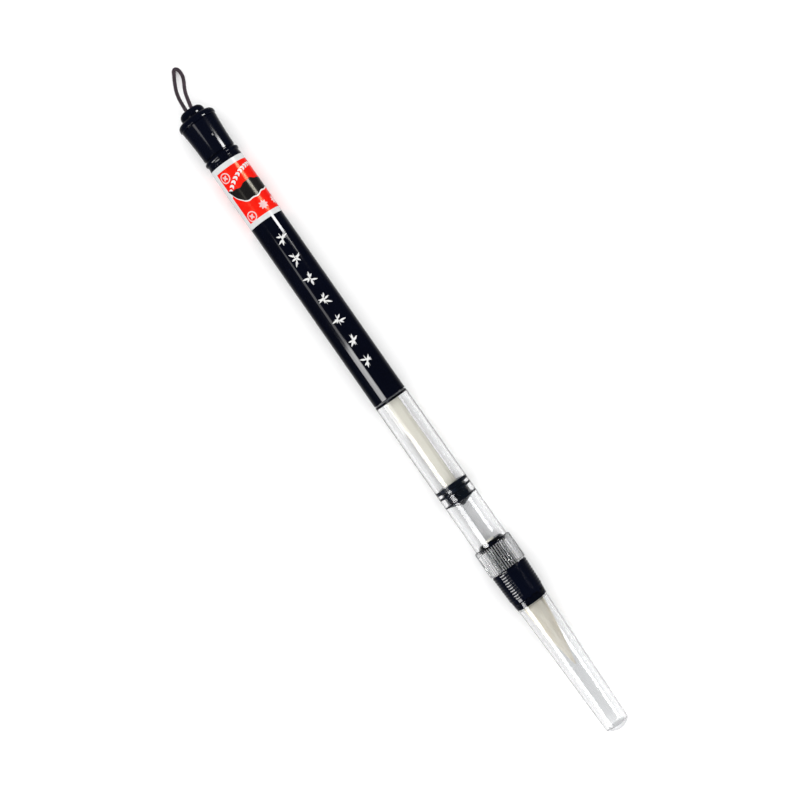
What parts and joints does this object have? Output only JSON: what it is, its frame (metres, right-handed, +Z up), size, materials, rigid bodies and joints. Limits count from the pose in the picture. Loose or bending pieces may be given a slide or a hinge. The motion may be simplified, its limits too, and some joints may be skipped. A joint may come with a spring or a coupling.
{
  "type": "brush pen",
  "caption": "Piston-filled brush pen: black handle with turning tail knob and hanging loop, clear reservoir with knurled end, ringed grip, goat-hair tuft under a clear push-on cap.",
  "frame": {"origin": "on the surface the pen lies on, under the middle of its length, tail boss to cap end", "axes": "+X along the pen towards the cap, +Z up, pen axis at z = 6.2 mm"},
  "size_m": [0.2403, 0.0124, 0.0124],
  "materials": {
    "black_barrel": "high gloss moulded",
    "label_paper": "printed coated paper",
    "black_trim": "gloss moulded",
    "clear_reservoir": "clear polished",
    "loop_cord": "braided",
    "grey_acetal": "satin moulded",
    "steel_pin": "plain turned",
    "ivory_rod": "satin moulded",
    "piston_rubber": "smooth moulded",
    "black_grip": "gloss, finely ringed",
    "wick_fibre": "bonded fibre",
    "sleeve_plastic": "satin moulded",
    "glued_root": "resin-set hair",
    "binding_thread": "waxed thread",
    "goat_hair": "combed hair",
    "clear_cap": "clear polished"
  },
  "bodies": {
    "barrel": {"handle_tube": "black_barrel", "paper_label": "label_paper", "tail_collar": "black_trim", "rod_guide": "black_trim", "reservoir_tube": "clear_reservoir"},
    "knob": {"tail_knob": "black_trim", "loop_boss": "black_trim", "loop_knot": "loop_cord", "hanging_loop": "loop_cord", "drive_spindle": "grey_acetal", "knob_pin": "steel_pin"},
    "piston": {"piston_rod": "ivory_rod", "rod_nut": "grey_acetal", "piston_seal": "piston_rubber"},
    "section_seal": {"section_oring": "piston_rubber"},
    "section": {"grip_section": "black_grip", "ink_feed": "wick_fibre", "tuft_sleeve": "sleeve_plastic", "tuft_root": "glued_root", "tuft_binding": "binding_thread", "brush_tuft": "goat_hair"},
    "cap": {"cap": "clear_cap"}
  },
  "joints": [
    {"name": "knob_turn", "type": "hinge", "parent": "barrel", "child": "knob", "pos_m": [-0.09717, 0, 0.0062], "axis": [1, 0, 0], "range_deg": [-1328, 567.5]},
    {"name": "piston_slide", "type": "slide", "parent": "barrel", "child": "piston", "axis": [1, 0, 0], "range_m": [-0.0295, 0.0126]},
    {"name": "section_advance", "type": "slide", "parent": "barrel", "child": "section_seal", "axis": [1, 0, 0], "range_m": [0, 0.004]},
    {"name": "section_turn", "type": "hinge", "parent": "section_seal", "child": "section", "pos_m": [0.05423, 0, 0.0062], "axis": [1, 0, 0], "range_deg": [-0.5, 1440.5]},
    {"name": "cap_pull", "type": "slide", "parent": "section", "child": "cap", "axis": [1, 0, 0], "range_m": [0, 0.055]}
  ],
  "couplings": [
    {"joint": "knob_turn", "follows": "piston_slide", "rad_per_m": 785.4},
    {"joint": "section_turn", "follows": "section_advance", "rad_per_m": 6283.2}
  ]
}
